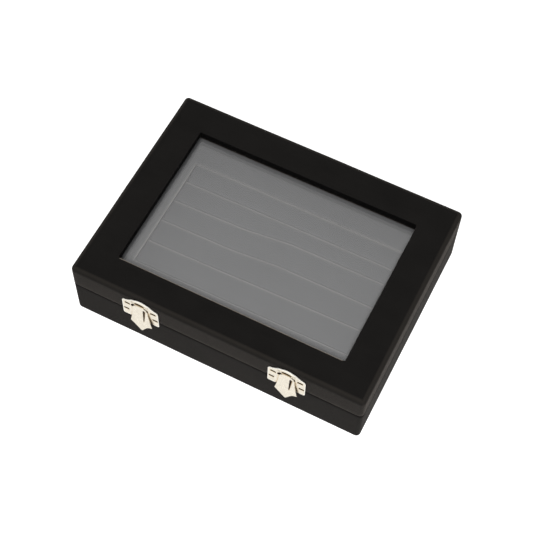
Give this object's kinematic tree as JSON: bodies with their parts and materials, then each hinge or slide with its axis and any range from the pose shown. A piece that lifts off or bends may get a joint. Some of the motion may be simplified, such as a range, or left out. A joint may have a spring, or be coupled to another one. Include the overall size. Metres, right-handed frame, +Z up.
{
  "type": "cufflink display box",
  "caption": "Velvet covered box with a glazed hinged lid, front tongue catches and soft rolls inside for holding cufflinks.",
  "frame": {"origin": "centre of the underside, on the surface the box stands on", "axes": "+X to the right along the front, +Y to the back where the hinges are, +Z up"},
  "size_m": [0.2, 0.1564, 0.05],
  "materials": {
    "black_velvet": "short pile velvet",
    "grey_velvet": "short pile velvet",
    "board": "plain fibreboard",
    "card": "plain card",
    "underside": "felt sheet",
    "clear_glass": "polished",
    "pale_nickel": "bright nickel plate with a champagne tone"
  },
  "bodies": {
    "base": {"base_back_wall": "board", "base_floor_board": "board", "base_front_wall": "board", "base_left_wall": "board", "base_right_wall": "board", "base_underside_sheet": "underside", "base_velvet_cover": "black_velvet", "catch_left_striker": "pale_nickel", "catch_left_striker_nail_left": "pale_nickel", "catch_left_striker_nail_right": "pale_nickel", "catch_right_striker": "pale_nickel", "catch_right_striker_nail_left": "pale_nickel", "catch_right_striker_nail_right": "pale_nickel", "cufflink_roll_1": "grey_velvet", "cufflink_roll_2": "grey_velvet", "cufflink_roll_3": "grey_velvet", "cufflink_roll_4": "grey_velvet", "cufflink_roll_5": "grey_velvet", "hinge_left_base_leaf": "pale_nickel", "hinge_left_base_nail_left": "pale_nickel", "hinge_left_base_nail_right": "pale_nickel", "hinge_left_pin": "pale_nickel", "hinge_right_base_leaf": "pale_nickel", "hinge_right_base_nail_left": "pale_nickel", "hinge_right_base_nail_right": "pale_nickel", "hinge_right_pin": "pale_nickel", "insert_border": "grey_velvet", "insert_card": "card"},
    "lid": {"catch_left_pin": "pale_nickel", "catch_left_plate": "pale_nickel", "catch_left_plate_nail_left": "pale_nickel", "catch_left_plate_nail_right": "pale_nickel", "catch_right_pin": "pale_nickel", "catch_right_plate": "pale_nickel", "catch_right_plate_nail_left": "pale_nickel", "catch_right_plate_nail_right": "pale_nickel", "glass_back_bead": "black_velvet", "glass_front_bead": "black_velvet", "glass_left_bead": "black_velvet", "glass_pane": "clear_glass", "glass_right_bead": "black_velvet", "hinge_left_lid_leaf": "pale_nickel", "hinge_left_lid_nail_left": "pale_nickel", "hinge_left_lid_nail_right": "pale_nickel", "hinge_right_lid_leaf": "pale_nickel", "hinge_right_lid_nail_left": "pale_nickel", "hinge_right_lid_nail_right": "pale_nickel", "lid_back_rail": "board", "lid_back_wall": "board", "lid_front_rail": "board", "lid_front_wall": "board", "lid_left_rail": "board", "lid_left_wall": "board", "lid_right_rail": "board", "lid_right_wall": "board", "lid_velvet_cover": "black_velvet"},
    "tongue_left": {"catch_left_tongue": "pale_nickel"},
    "tongue_right": {"catch_right_tongue": "pale_nickel"}
  },
  "joints": [
    {"name": "lid_hinge", "type": "hinge", "parent": "base", "child": "lid", "pos_m": [0, 0.0769, 0.03075], "axis": [-1, 0, 0], "range_deg": [0, 100]},
    {"name": "catch_left_turn", "type": "hinge", "parent": "lid", "child": "tongue_left", "pos_m": [-0.05, -0.07655, 0.046], "axis": [-1, 0, 0], "range_deg": [0, 95]},
    {"name": "catch_right_turn", "type": "hinge", "parent": "lid", "child": "tongue_right", "pos_m": [0.05, -0.07655, 0.046], "axis": [-1, 0, 0], "range_deg": [0, 95]}
  ]
}
